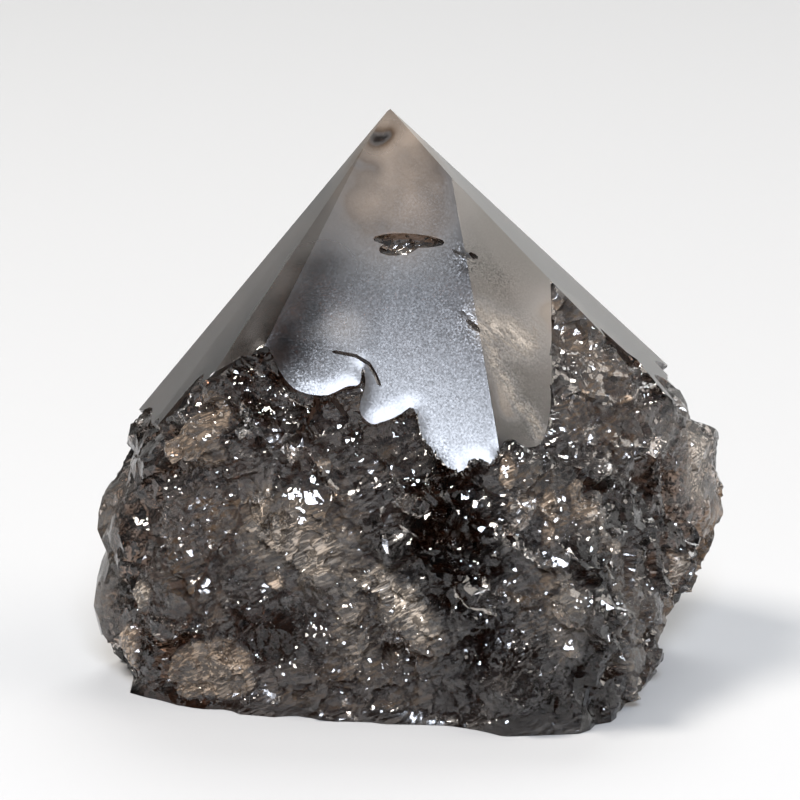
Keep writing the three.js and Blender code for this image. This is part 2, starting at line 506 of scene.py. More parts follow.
        leant = add_node(tree, "ShaderNodeVectorMath", {"operation": "ADD"},
                         {0: straight, 1: lean.outputs["Vector"]})
        return add_node(tree, "ShaderNodeVectorMath", {"operation": "NORMALIZE"},
                        {0: leant.outputs["Vector"]}).outputs["Vector"]


@dataclass
class CrystalPoint:
    """The stone: polished faces with rounded lips over broken, chipped sides and a sawn base.

    Lengths are in millimetres and angles in degrees.

    Attributes:
        faces: The polished faces, numbered from 1.
        patches: Spots and streaks that look different from the rest.
        grooves: Cracks and scratches in the polished faces.
        chips: Sizes of broken chips.
        plate_height: How far a plate stands proud.
        plate_edge: Width of a plate's rim as a share of its reach.
        plate_rise: How soon a faint plate has its full height.
        rib_size: Width of a rib.
        rib_stretch: Width of a rib over its length.
        rib_height: Height of a rib.
        patch_sway: How far the edges of patches wander.
        sway_size: Width of their wandering.
        haze: Most milkiness of the brown haze in broken sides.
        haze_warmth: How tan the haze is.
        bare_veil: Small milkiness that bare stone counts as, for its tint.
        cloud_drift: Swells of the clouds.
        frost_drift: Where the broken sides are dusty.
        glint_drift: Where they glint.
        haze_drift: Where they are hazy.
        border_step: Length of an edge around a polished face.
        polished_step: Length of an edge inside it.
        broken_step: Length of an edge of the broken sides.
        roll_start: How far down the slope from the tip the front begins to roll over.
        roll_end: Where the roll is full.
        roll_drop: Depth of the full roll.
        roll_spread: How fast the roll ends towards the sides.
        lip_width: Width of the rounded lips.
        lip_drop: Depth of the rounding.
        lip_top: Height up to which a border is a lip.
        swell_width: How far from a ridge a face has its bulge.
        relief_fade: How far from a polished face the chips have their full height.
        foot_height: How far above the base they have it.
        crease: Steepest edge that still looks rounded.
        wander: How far the borders of chips wander.
        wander_size: Width of their wandering.
        wander_detail: Layers of finer wandering.
        seed: Picks the chips and the wandering of patches.
        seed_way: Where the next seed's chips come from.
        bow: How much a face is drawn in at its rim while it is filled, so that straight borders bow out.
        flatness: How far a point of a flat face may be off it.
        merge_distance: Points nearer than this are one.
        fill_gap: Points of a filling nearer than this are one, in metres.
        smallest_island: Smallest piece of a polished face in square millimetres.
        quartz: Finish of the stone.
    """

    faces: tuple[PolishedFace, ...] = (
        PolishedFace("front", 0, 58, 0.5),
        PolishedFace("front left", -35, 50.4, 0.1),
        PolishedFace("left", -82, 52, 0.15),
        PolishedFace("back left", -132, 55.5, 0.25),
        PolishedFace("back", 176, 54, 0.25),
        PolishedFace("back right", 140, 48.8, 0.25),
        PolishedFace("right", 87, 44.9, 0.15),
        PolishedFace("front right", 25, 57, 0.3, 16.6),
    )
    patches: tuple[Patch, ...] = (
        Patch("knob on the left", Kind.PLATE,
              ((-24.5, -14.5, 36), (-25, -14.5, 32.5)), 3.4, 0.26, Tint.BEIGE),
        Patch("oval plate", Kind.PLATE, ((-26, -15, 4.5), (-22, -16, 5.5)), 3.8, 0.28, Tint.BEIGE),
        Patch("low left corner", Kind.PLATE, ((-34, -7, 5.6),), 2.6, 0.45, Tint.BEIGE),
        Patch("small lump on the left", Kind.PLATE, ((-31.6, -10.8, 12.6),), 1.9, 0.4),
        Patch("chip under the cloud", Kind.PLATE, ((-16, -17, 16),), 1.1, 0.5, Tint.BEIGE),
        Patch("square chip under the lip", Kind.PLATE, ((-10.3, -17.4, 30.5),), 1.2, 0.22),
        Patch("left splinter of the shoulder", Kind.PLATE,
              ((19.6, -12.5, 38), (21, -12.5, 35.5)), 1, 0.5, Tint.BEIGE),
        Patch("right splinter of the shoulder", Kind.PLATE,
              ((26, -10, 37), (27, -10.5, 34)), 1, 0.5, Tint.BEIGE),
        Patch("wedges in the right face", Kind.PLATE, ((31.6, -1.6, 15.5), (31.8, -1.6, 12)), 1, 0.6),
        Patch("left column under the lip", Kind.PLATE,
              ((11.3, -22, 33), (11.8, -22.5, 27)), 1.3, 0.3, Tint.BEIGE),
        Patch("middle column", Kind.PLATE, ((15.8, -22.5, 31), (16.6, -23, 20)), 1.3, 0.2, Tint.BEIGE),
        Patch("right column", Kind.PLATE, ((19.4, -21, 30.5), (20.6, -22.5, 21)), 1.2, 0.3, Tint.BEIGE),
        Patch("cloud left of the middle", Kind.CLOUD, ((-16, -18, 22.5), (-11, -18.5, 19.5)), 4.0, 0.36),
        Patch("haze over the left", Kind.CLOUD, ((-26, -14, 22),), 8.0, 0.07, Tint.TAN),
        Patch("left edge", Kind.CLOUD, ((-37, 0, 22), (-38, 0, 8)), 4.0, 0.12, Tint.BEIGE),
        Patch("wisps in the middle", Kind.CLOUD,
              ((-5, -20, 17), (-0.7, -23, 15), (1.5, -23.4, 12)), 1.8, 0.55),
        Patch("low cloud", Kind.CLOUD, ((-7.5, -19.3, 13), (-6.6, -19, 8)), 2.2, 0.2),
        Patch("haze of the shoulder", Kind.CLOUD, ((18, -8.5, 45.5), (22, -9, 42)), 3.6, 0.2, Tint.BEIGE),
        Patch("crumbs by the corner", Kind.CLOUD, ((17.3, -27, 18), (19, -26.7, 12)), 2.2, 0.2),
        Patch("end of the shoulder", Kind.CLOUD, ((30, -7, 32),), 2.5, 0.2),
        Patch("ripples on the right edge", Kind.CLOUD, ((34, 3, 32), (35.6, 6, 24)), 3.0, 0.55),
        Patch("bump on the right edge", Kind.CLOUD, ((37.5, 10, 16.8),), 4.0, 0.35, Tint.TAN),
        Patch("rim at the lower right", Kind.CLOUD, ((36, 10, 12), (30, 2, 2)), 2.6, 0.3, Tint.TAN),
        Patch("ridged columns", Kind.CLOUD, ((15, -22, 29), (20, -21, 24)), 3.0, 0.15, Tint.BEIGE),
        Patch("corner ridge", Kind.PLATE,
              ((20.4, -18, 30), (22.9, -22.7, 23), (24.5, -22.3, 13), (26.6, -14, 1)), 1, 0.12),
        Patch("striae of the right face", Kind.FROST, ((28, -8, 22), (28, -9, 6)), 5.0, 0.7),
        Patch("ground edge of the base", Kind.FROST, ((-20, -17, 0), (4, -22, 0), (20, -25, 0)), 2.5, 1.0),
        Patch("ribs of the right edge", Kind.RIBS, ((34, 3, 32), (34.8, 4, 20)), 5.0, 0.6),
        Patch("ribs of the right face", Kind.RIBS, ((28, -8, 24), (28, -9, 6)), 6.0, 0.4),
        Patch("columns under the right lip", Kind.RIBS, ((15, -22, 29), (20, -21, 20)), 5.0, 1.0),
        Patch("glints by the middle", Kind.GLINT, ((-6, -19, 17), (-2, -20, 14)), 2.4, 1.0),
        Patch("glints under the knob", Kind.GLINT, ((-28, -13, 30), (-23, -15, 26)), 3.0, 0.9),
        Patch("glints left of the lip", Kind.GLINT, ((-19, -15, 36), (-14, -15, 38)), 2.4, 0.8),
        Patch("glints under the lips", Kind.GLINT, ((-9, -18, 36), (3, -20, 32)), 1.6, 0.8),
        Patch("glints on the right", Kind.GLINT, ((30, -7, 33), (30, -7, 29)), 2.0, 1.0),
        Patch("glints of the columns", Kind.GLINT, ((16, -22, 25), (18, -22, 14)), 2.6, 0.9),
        Patch("glints low on the left", Kind.GLINT, ((-16, -18, 8), (-4, -20, 6)), 4.0, 0.7),
        Patch("glints low in the middle", Kind.GLINT, ((10, -25, 14), (17, -27, 8)), 3.0, 0.7),
        Patch("smooth left side", Kind.CALM, ((-35, -3, 36), (-38, 0, 22), (-39, 0, 8)), 9.0, 1.0),
        Patch("smooth right edge", Kind.CALM, ((35, 6, 30), (38, 10, 18)), 5.0, 0.75),
        Patch("smooth end of the shoulder", Kind.CALM, ((30, -4, 38), (34, 7, 34)), 3.5, 0.9),
        Patch("smooth foot at the right", Kind.CALM, ((8, -26, 2), (20, -26, 2)), 3.0, 0.7),
        Patch("veils inside the tip", Kind.CLOUD, ((-2, -1, 67), (-1.5, -6, 59)), 5.6, 0.28, Tint.BEIGE),
        Patch("pale end of the tip", Kind.CLOUD, ((-1, -1.5, 66),), 2.4, 0.12, Tint.BEIGE),
        Patch("dark smudge in the tip", Kind.CLOUD, ((-4.2, -0.8, 66.7), (-2.6, -0.3, 67.3)), 0.8, -0.3),
        Patch("clear window in the tip", Kind.GLOSS, ((-4.2, -0.8, 66.7), (-2.6, -0.3, 67.3)), 1.0, 0.8),
        Patch("dark smudge under the tip", Kind.CLOUD, ((-5.8, -2.4, 64), (-4.4, -2.4, 64)), 0.9, -0.12),
        Patch("pale left end of the front", Kind.CLOUD, ((-8, -13.5, 46),), 2.4, 0.08),
        Patch("clear left end of the front", Kind.GLOSS, ((-14.5, -14.5, 44),), 3.8, 0.9),
        Patch("clear left edge of the front", Kind.GLOSS,
              ((-12.5, -11.5, 48.5), (-11, -9.5, 52)), 3.0, 0.45),
        Patch("veils in the left face", Kind.CLOUD, ((-28, -4, 38), (-14, -3, 56)), 6.0, 0.03, Tint.TAN),
        Patch("stripe in the left face", Kind.CLOUD, ((-8, -3, 62), (-19, -12, 45)), 1.0, 0.02, Tint.BEIGE),
        Patch("bright patch by the front edge", Kind.CLOUD, ((9, -12.4, 47), (13, -12.6, 44.5)), 1.8, 0.3),
        Patch("bright line along the front edge", Kind.CLOUD,
              ((8.5, -13.5, 45.5), (11.4, -18, 37)), 0.8, 0.2),
        Patch("streak of the front right face", Kind.CLOUD,
              ((9.8, -14.8, 43.3), (15.3, -18.7, 34.4)), 0.7, 0.24),
        Patch("speckles by the front edge", Kind.GLINT, ((8, -12.8, 47), (13, -12.6, 44.5)), 2.4, 1.0),
        Patch("speckles along the streak", Kind.GLINT, ((9.8, -14.8, 43.3), (15.3, -18.7, 34.4)), 1.4, 0.9),
        Patch("speckles over the pits", Kind.GLINT, ((7, -9, 54), (11, -9, 51)), 2.0, 0.8),
    )
    grooves: tuple[Groove, ...] = (
        Groove("crack at the left notch", 1, (
            (-9, -15.1, 43.8), (-6.5, -15.4, 43.4), (-5, -15.9, 42.6),
            (-4.2, -16.6, 41.4), (-3.7, -17.3, 40.3)), 0.22, 0.3),
        Groove("scratch by the front edge", 1,
               ((6.2, -12.5, 48.2), (7, -13, 47.3), (7.9, -13.5, 46.3)), 0.2, 0.25),
        Groove("chipped line at the front edge", 1, ((5.2, -8.5, 54.5), (6.6, -8.6, 53.9)), 0.22, 0.25),
        Groove("chipped line in the front right face", 8, (
            (6.9, -8.6, 53.8), (7.9, -8.6, 53.3), (10.6, -7.1, 53.7), (12.4, -5.9, 54.2)), 0.22, 0.25),
        Groove("crack over the pits", 1, (
            (-3.5, -9.3, 54.8), (-1, -9, 55.3), (1.5, -8.9, 55.4), (4.5, -9.2, 55)), 0.2, 0.25),
    )
    chips: tuple[ChipLayer, ...] = (
        ChipLayer("Large", 9.0, 0.4, 0.2),
        ChipLayer("Medium", 4.0, 0.2, 0.27),
        ChipLayer("Small", 1.7, 0.05, 0.17),
    )
    plate_height: float = 0.6
    plate_edge: float = 0.14
    plate_rise: float = 8.0
    rib_size: float = 1.8
    rib_stretch: float = 0.12
    rib_height: float = 0.45
    patch_sway: float = 0.9
    sway_size: float = 3.0
    haze: float = 0.07
    haze_warmth: float = 0.8
    bare_veil: float = 0.01
    cloud_drift: Drift = Drift(size=5.0, shift=5.9, gain=0.5, level=1.0, most=math.inf)
    frost_drift: Drift = Drift(size=9.0, shift=3.1, gain=1.8, level=0.1, most=0.8)
    glint_drift: Drift = Drift(size=6.0, shift=7.7, gain=4.0, level=-1.1, most=1.0)
    haze_drift: Drift = Drift(size=11.0, shift=11.3, gain=2.0, level=0.0, most=1.0)
    border_step: float = 0.55
    polished_step: float = 0.55
    broken_step: float = 0.62
    roll_start: float = 14.0
    roll_end: float = 45.0
    roll_drop: float = 1.25
    roll_spread: float = 1.2
    lip_width: float = 2.2
    lip_drop: float = 0.13
    lip_top: float = 45.0
    swell_width: float = 8.0
    relief_fade: float = 1.4
    foot_height: float = 1.6
    crease: float = 16.0
    wander: float = 0.5
    wander_size: float = 4.0
    wander_detail: float = 0.5
    seed: int = 5
    seed_way: Point = (0.37, 0.71, 0.53)
    bow: float = 0.1
    flatness: float = 0.005
    merge_distance: float = 0.0005
    fill_gap: float = 1e-9
    smallest_island: float = 60.0
    quartz: SmokyQuartz = field(default_factory=SmokyQuartz)

    def build(self) -> bpy.types.Object:
        """Makes the stone's finished mesh as an object at the origin.

        Returns:
            The object, linked to the scene.
        """
        shape = bmesh.new()
        shape.from_mesh(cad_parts["crystal"].data)
        bmesh.ops.remove_doubles(shape, verts=shape.verts, dist=self.merge_distance * MM)
        facet = shape.faces.layers.int.new("facet")
        self.sort_faces(shape, facet)
        self.split_borders(shape, facet)
        for number, face in enumerate(self.faces, start=1):
            self.refill(shape, facet, number, face)
        self.split_broken(shape, facet)
        self.shape_polished(shape, facet)
        self.mark(shape, facet)
        mesh = bpy.data.meshes.new("crystal_point")
        shape.to_mesh(mesh)
        shape.free()
        stone = bpy.data.objects.new("crystal_point", mesh)
        bpy.context.scene.collection.objects.link(stone)
        self.break_skin(stone)
        self.crease_edges(stone.data)
        return stone

    def sort_faces(self, shape: bmesh.types.BMesh, facet: Any) -> None:
        """Numbers the faces: 0 for broken, from 1 for the polished faces, and -1 for the sawn base.

        Args:
            shape: The stone.
            facet: Face layer that takes the number.
        """
        for number, face in enumerate(self.faces, start=1):
            flat = self.flat_faces(shape, face)
            if math.isfinite(face.right_end):
                self.cut_at(shape, flat, face.right_end * MM)
                flat = self.flat_faces(shape, face)
            for f in flat:
                f[facet] = number if f.calc_center_median().x < face.right_end * MM else 0
        for f in shape.faces:
            f.tag = False
            if all(v.co.z < self.flatness * MM for v in f.verts):
                f[facet] = -1
        for f in shape.faces:
            if f[facet] > 0 and not f.tag:
                self.drop_island(f, facet)

    def flat_faces(self, shape: bmesh.types.BMesh, face: PolishedFace) -> list[bmesh.types.BMFace]:
        """Finds the faces of the solid that lie on a polished face.

        Args:
            shape: The stone.
            face: The polished face.

        Returns:
            The faces.
        """
        lowest = max(v.co.dot(face.normal) for v in shape.verts) - self.flatness * MM
        return [f for f in shape.faces if all(v.co.dot(face.normal) > lowest for v in f.verts)]

    def cut_at(self, shape: bmesh.types.BMesh, flat: list[bmesh.types.BMFace], x: float) -> None:
        """Cuts faces along an upright plane that looks to the right.

        Args:
            shape: The stone.
            flat: Faces to cut.
            x: Where the plane stands, in metres.
        """
        edges = dict.fromkeys(e for f in flat for e in f.edges)
        verts = dict.fromkeys(v for f in flat for v in f.verts)
        bmesh.ops.bisect_plane(shape, geom=[*verts, *edges, *flat], plane_co=(x, 0, 0), plane_no=(1, 0, 0))

    def drop_island(self, start: bmesh.types.BMFace, facet: Any) -> None:
        """Counts a small stray piece of a polished face as broken, and tags every face it looks at.

        Args:
            start: A face of the piece.
            facet: Face layer with the numbers of the faces.
        """
        number = start[facet]
        start.tag = True
        piece = [start]
        for f in piece:
            for beside in (g for e in f.edges for g in e.link_faces):
                if beside[facet] == number and not beside.tag:
                    beside.tag = True
                    piece.append(beside)
        if sum(f.calc_area() for f in piece) < self.smallest_island * MM * MM:
            for f in piece:
                f[facet] = 0

    def split_borders(self, shape: bmesh.types.BMesh, facet: Any) -> None:
        """Cuts the long edges around the polished faces into short ones.

        Args:
            shape: The stone.
            facet: Face layer with the numbers of the faces.
        """
        for edge in list(shape.edges):
            one, other = (f[facet] for f in edge.link_faces)
            if one == other:
                continue
            pieces = math.ceil(edge.calc_length() / (self.border_step * MM))
            near = edge.verts[0]
            for left in range(pieces, 1, -1):
                part, middle = bmesh.utils.edge_split(edge, near, 1 / left)
                edge = part if near not in part.verts else edge
                near = middle
        many = [f for f in shape.faces if len(f.verts) > 3 and f[facet] <= 0]
        bmesh.ops.triangulate(shape, faces=many)

    def refill(self, shape: bmesh.types.BMesh, facet: Any, number: int, face: PolishedFace) -> None:
        """Fills a polished face again with even triangles inside its own border.

        Args:
            shape: The stone.
            facet: Face layer with the numbers of the faces.
            number: Number of the face.
            face: The face.
        """
        old = [f for f in shape.faces if f[facet] == number]
        border = [e for f in old for e in f.edges if any(n[facet] != number for n in e.link_faces)]
        rim = list(dict.fromkeys(v for e in border for v in e.verts))
        order = {v: i for i, v in enumerate(rim)}
        reach = rim[0].co.dot(face.normal)
        flat = np.array([(v.co.dot(face.across), v.co.dot(face.up)) for v in rim])
        edges = [(order[e.verts[0]], order[e.verts[1]]) for e in border]
        bmesh.ops.delete(shape, geom=old, context="FACES")
        spots = np.vstack((flat, self.grid_inside(flat, edges, self.groove_rows(number, face))))
        from_middle = spots - flat.mean(axis=0)
        squared = (from_middle ** 2).sum(axis=1, keepdims=True)
        bowed = from_middle * (1 - self.bow * squared / squared.max())
        points = [Vector(p) for p in bowed]
        placed, _, triangles, origin, _, _ = delaunay_2d_cdt(points, edges, [], 0, self.fill_gap)
        keep = self.inner_triangles(placed, triangles, bowed[:len(rim)], edges, origin)
        corners: list[bmesh.types.BMVert] = []
        for sources in origin:
            first = min(sources)
            if first < len(rim):
                corners.append(rim[first])
            else:
                x, y = spots[first]
                corners.append(shape.verts.new(face.across * x + face.up * y + face.normal * reach))
        for triangle in keep:
            new = shape.faces.new([corners[i] for i in triangle])
            new[facet] = number
            new.normal_update()
            if new.normal.dot(face.normal) < 0:
                new.normal_flip()

    def inner_triangles(
        self,
        placed: list[Vector],
        triangles: list[list[int]],
        flat: np.ndarray,
        edges: list[tuple[int, int]],
        origin: list[list[int]],
    ) -> list[list[int]]:
        """Picks the triangles that lie inside a border, by walking from triangle to triangle up to it.

        Args:
            placed: Points of the triangles.
            triangles: Three points each.
            flat: Points of the border.
            edges: Pairs of border points.
            origin: The given points that each placed point stands for.

        Returns:
            The triangles inside.
        """
        stands = {given: i for i, sources in enumerate(origin) for given in sources}
        walls = {frozenset((stands[a], stands[b])) for a, b in edges}
        beside: dict[frozenset[int], list[int]] = {}
        for i, (a, b, c) in enumerate(triangles):
            for side in (frozenset((a, b)), frozenset((b, c)), frozenset((c, a))):
                if side not in walls:
                    beside.setdefault(side, []).append(i)
        outside = {pair[0] for pair in beside.values() if len(pair) == 1}
        ways: dict[int, list[int]] = {}
        for pair in beside.values():
            for i in pair:
                ways.setdefault(i, []).extend(j for j in pair if j != i)
        spots = np.array([[tuple(placed[i]) for i in t] for t in triangles])
        one, two = spots[:, 1] - spots[:, 0], spots[:, 2] - spots[:, 0]
        areas = np.abs(one[:, 0] * two[:, 1] - one[:, 1] * two[:, 0])
        within = self.inside(spots.mean(axis=1), flat, edges)
        seen: set[int] = set()
        kept: list[list[int]] = []
        for i in range(len(triangles)):
            if i in seen:
                continue
            seen.add(i)
            group = [i]
            for j in group:
                new = [k for k in ways.get(j, []) if k not in seen]
                seen.update(new)
                group.extend(new)
            if outside.isdisjoint(group) and within[max(group, key=lambda j: areas[j])]:
                kept.extend(triangles[j] for j in group)
        return kept

    def inside(self, spots: np.ndarray, flat: np.ndarray, edges: list[tuple[int, int]]) -> np.ndarray:
        """Tells which points of a plane lie inside a border with holes.

        Args:
            spots: Points to test, one in a row.
            flat: Points of the border.
            edges: Pairs of border points.

        Returns:
            True for each point inside.
        """
        odd = np.zeros(len(spots), bool)
        for a, b in edges:
            (ax, ay), (bx, by) = flat[a], flat[b]
            if ay == by:
                continue
            spans = (spots[:, 1] < ay) != (spots[:, 1] < by)
            crossing = ax + (spots[:, 1] - ay) / (by - ay) * (bx - ax)
            odd ^= spans & (spots[:, 0] < crossing)
        return odd

    def groove_rows(self, number: int, face: PolishedFace) -> np.ndarray:
        """Sets three rows of close points along each groove of a polished face.

        Args:
            number: Number of the face.
            face: The face.

        Returns:
            The points on the face, one in a row.
        """
        rows: list[np.ndarray] = [np.empty((0, 2))]
        for groove in self.grooves:
            if groove.face != number:
                continue
            line = np.array([(Vector(p).dot(face.across), Vector(p).dot(face.up)) for p in groove.path])
            for start, end in zip(line, line[1:]):
                way = end - start
                length = np.linalg.norm(way)
                side = np.array((-way[1], way[0])) / length * groove.width
                shares = np.linspace(0, 1, math.ceil(length / groove.width), endpoint=False)[:, None]
                rows.extend(start + shares * way + shift * side for shift in (-1, 0, 1))
        return np.vstack(rows) * MM

    def grid_inside(self, flat: np.ndarray, edges: list[tuple[int, int]], rows: np.ndarray) -> np.ndarray:
        """Spreads points evenly inside a border, around rows of points that are kept.

        Args:
            flat: Points of the border.
            edges: Pairs of border points.
            rows: Points to keep, one in a row.

        Returns:
            The points, one in a row.
        """
        step = self.polished_step * MM
        low, high = flat.min(0), flat.max(0)
        row_gap = step * math.sqrt(0.75)
        levels = np.arange(low[1], high[1], row_gap)
        spots = np.array([
            (x + (i % 2) * step / 2, y)
            for i, y in enumerate(levels) for x in np.arange(low[0], high[0], step)
        ])
        tree = KDTree(len(flat) + len(rows))
        for i, (x, y) in enumerate(np.vstack((flat, rows))):
            tree.insert((x, y, 0), i)
        tree.balance()
        clear = np.array([tree.find((x, y, 0))[2] > step / 2 for x, y in spots])
        whole = np.vstack((rows, spots[clear]))
        return whole[self.inside(whole, flat, edges)]

    def split_broken(self, shape: bmesh.types.BMesh, facet: Any) -> None:
        """Cuts the broken faces into small triangles.

        Args:
            shape: The stone.
            facet: Face layer with the numbers of the faces.
        """
        waiting: list[tuple[float, int, bmesh.types.BMEdge]] = []
        turn = itertools.count()
        fresh = list(shape.edges)
        while fresh or waiting:
            for edge in fresh:
                length = edge.calc_length()
                if length > self.broken_step * MM and max(f[facet] for f in edge.link_faces) == 0:
                    heapq.heappush(waiting, (-length, next(turn), edge))
            fresh = []
            if waiting:
                longest = heapq.heappop(waiting)[2]
                _, middle = bmesh.utils.edge_split(longest, longest.verts[0], 0.5)
                for face in list(middle.link_faces):
                    corner = next(c for c in face.loops if c.vert == middle)
                    bmesh.utils.face_split(face, middle, corner.link_loop_next.link_loop_next.vert)
                fresh = list(middle.link_edges)

    def distance_to(self, shape: bmesh.types.BMesh, targets: list[bmesh.types.BMVert]) -> np.ndarray:
        """Measures how far each point of the stone is from the nearest of some points.

        Args:
            shape: The stone.
            targets: Points to measure to.

        Returns:
            One distance in metres for each point.
        """
        tree = KDTree(len(targets))
        for i, vert in enumerate(targets):
            tree.insert(vert.co, i)
        tree.balance()
        return np.array([tree.find(v.co)[2] for v in shape.verts])

    def roll(self, from_tip: Vector) -> float:
        """Tells how far the hand polish rolls the front down towards the lips.

        Args:
            from_tip: Place seen from the tip.

        Returns:
            The drop in millimetres.
        """
        front = self.faces[0]
        turn = math.atan2(from_tip.x, -from_tip.y)
        facing = math.cos(min(abs(turn) * self.roll_spread, math.pi / 2))
        down = -from_tip.z / MM / math.sin(math.radians(front.slope))
        share = max(0.0, (down - self.roll_start) / (self.roll_end - self.roll_start))
        return self.roll_drop * facing * share ** 2

    def shape_polished(self, shape: bmesh.types.BMesh, facet: Any) -> None:
        """Bulges the polished faces a little and rounds them off at their broken lips.

        Args:
            shape: The stone.
            facet: Face layer with the numbers of the faces.
        """
        shape.verts.index_update()
        kinds = [{f[facet] for f in v.link_faces} for v in shape.verts]
        verts = list(shape.verts)
        lips = [v for v, k in zip(verts, kinds) if 0 in k and 1 in k and v.co.z < self.lip_top * MM]
        ridges = [v for v, k in zip(verts, kinds) if len([n for n in k if n > 0]) > 1]
        tip = max((v.co.copy() for v in verts), key=lambda co: co.z)
        from_lip = self.distance_to(shape, lips)
        from_ridge = self.distance_to(shape, ridges)
        for vert, kind, lip, ridge in zip(verts, kinds, from_lip, from_ridge):
            numbers = [n for n in kind if n > 0]
            if not numbers:
                continue
            face = self.faces[numbers[0] - 1]
            normal = sum((self.faces[n - 1].normal for n in numbers), Vector()).normalized()
            fall = self.lip_drop * max(0.0, 1 - lip / (self.lip_width * MM)) ** 2 + self.roll(vert.co - tip)
            swell = 1 - math.exp(-ridge / (self.swell_width * MM))
            vert.co += normal * (face.bulge * swell - fall) * MM
        places = np.array([v.co for v in verts]) / MM
        for groove in self.grooves:
            depths = groove.depth * np.maximum(0, 1 - distance_from(groove.path, places) / groove.width)
            for i in np.flatnonzero(depths):
                if max(kinds[i]) > 0:
                    verts[i].co -= verts[i].normal * float(depths[i]) * MM

    def add_patches(self, places: np.ndarray) -> tuple[dict[Kind, np.ndarray], np.ndarray]:
        """Adds up the patches of each kind.

        Args:
            places: Places to look at in millimetres, one in a row.

        Returns:
            How strong each kind is at each place, and how much of the clouds and plates there is tan.
        """
        fields = {kind: np.zeros(len(places)) for kind in Kind}
        warm = np.zeros(len(places))
        for patch in self.patches:
            away = distance_from(patch.path, places) / patch.reach
            if patch.kind is Kind.PLATE:
                share = np.clip((1 - away) / self.plate_edge, 0, 1)
            else:
                share = np.exp(-(away ** 2))
            fields[patch.kind] += patch.strength * share
            if patch.kind in (Kind.CLOUD, Kind.PLATE):
                warm += abs(patch.strength) * share * patch.tint.value
        return fields, warm

    def mark(self, shape: bmesh.types.BMesh, facet: Any) -> None:
        """Writes what the finish and the chips read: polish on faces, and the other marks on points.

        Args:
            shape: The stone.
            facet: Face layer with the numbers of the faces.
        """
        polish = shape.faces.layers.float.new("polish")
        for f in shape.faces:
            f[polish] = float(f[facet] > 0)
            f.smooth = True
        verts = list(shape.verts)
        firm = [v for v in verts if any(f[facet] != 0 for f in v.link_faces)]
        fade = np.minimum(1.0, self.distance_to(shape, firm) / (self.relief_fade * MM))
        places = np.array([v.co for v in verts]) / MM
        noise.seed_set(self.seed)
        sways = np.array([noise.noise_vector(Vector(p) / self.sway_size) for p in places])
        fields, warm = self.add_patches(places + self.patch_sway * sways)
        rough = 1 - np.clip(fields[Kind.CALM], 0, 1)
        foot = np.clip(places[:, 2] / self.foot_height, 0, 1)
        broken = fade * rough * foot
        brown = self.haze * self.haze_drift.at(places)
        veil = fields[Kind.CLOUD] + fields[Kind.PLATE]
        tan = warm + self.haze_warmth * (brown + self.bare_veil)
        marks = {
            "relief": broken,
            "lift": fade * np.minimum(1, self.plate_rise * fields[Kind.PLATE]) * self.plate_height * MM,
            "ribs": fade * foot * np.clip(fields[Kind.RIBS], 0, 1) * self.rib_height * MM,
            "veil": np.clip(veil * self.cloud_drift.at(places) + brown * broken, 0, 1),
            "warmth": np.clip(tan / (np.abs(veil) + brown + self.bare_veil), 0, 1),
            "frost": np.clip(broken * self.frost_drift.at(places) + fields[Kind.FROST], 0, 1),
            "glint": np.clip(broken * self.glint_drift.at(places) + foot * fields[Kind.GLINT], 0, 1),
            "gloss": np.clip(fields[Kind.GLOSS], 0, 1),
        }
        for name, values in marks.items():
            layer = shape.verts.layers.float.new(name)
            for vert, value in zip(shape.verts, values):
                vert[layer] = value

    def chip_tree(self) -> tuple[bpy.types.NodeTree, dict[str, float]]:
        """Makes the tree that breaks the skin into chips.

        Returns:
            The tree, and the value of each of its inputs by name.
        """
        tree = bpy.data.node_groups.new("broken chips", "GeometryNodeTree")
        values: dict[str, float] = {
            "Seed": float(self.seed),
            "Wander": self.wander * MM,
            "Ribs in a metre": 1 / (self.rib_size * MM),
        }
        for layer in self.chips:
            values[f"{layer.name} chips in a metre"] = 1 / (layer.size * MM)
            values[f"{layer.name} step"] = layer.step * MM
            values[f"{layer.name} tilt"] = layer.tilt
        tree.interface.new_socket("Geometry", in_out="INPUT", socket_type="NodeSocketGeometry")
        for name in values:
            tree.interface.new_socket(name, in_out="INPUT", socket_type="NodeSocketFloat")
        tree.interface.new_socket("Geometry", in_out="OUTPUT", socket_type="NodeSocketGeometry")
        given = add_node(tree, "NodeGroupInput", {}, {}).outputs
        place = add_node(tree, "GeometryNodeInputPosition", {}, {}).outputs["Position"]
        drift = add_node(tree, "ShaderNodeTexNoise", {}, {
            "Vector": place, "Scale": 1 / (self.wander_size * MM), "Detail": self.wander_detail})
        sway = add_node(tree, "ShaderNodeVectorMath", {"operation": "SCALE"},
                        {0: drift.outputs["Color"], "Scale": given["Wander"]})
        moved = add_node(tree, "ShaderNodeVectorMath", {"operation": "ADD"},
                         {0: place, 1: sway.outputs["Vector"]})
        lot = add_node(tree, "ShaderNodeVectorMath", {"operation": "SCALE"},
                       {0: self.seed_way, "Scale": given["Seed"]})
        spot = add_node(tree, "ShaderNodeVectorMath", {"operation": "ADD"},
                        {0: moved.outputs["Vector"], 1: lot.outputs["Vector"]}).outputs["Vector"]
        height: Any = 0.0
        for layer in self.chips:
            chips = chip_height(tree, spot, given[f"{layer.name} chips in a metre"],
                                given[f"{layer.name} step"], given[f"{layer.name} tilt"])
            stack = add_node(tree, "ShaderNodeMath", {"operation": "ADD"}, {0: height, 1: chips})
            height = stack.outputs["Value"]
        relief, lift, ribs = (
            add_node(tree, "GeometryNodeInputNamedAttribute", {"data_type": "FLOAT"},
                     {"Name": name}).outputs["Attribute"]
            for name in ("relief", "lift", "ribs")
        )
        drawn = add_node(tree, "ShaderNodeVectorMath", {"operation": "MULTIPLY"},
                         {0: place, 1: (1, 1, self.rib_stretch)})
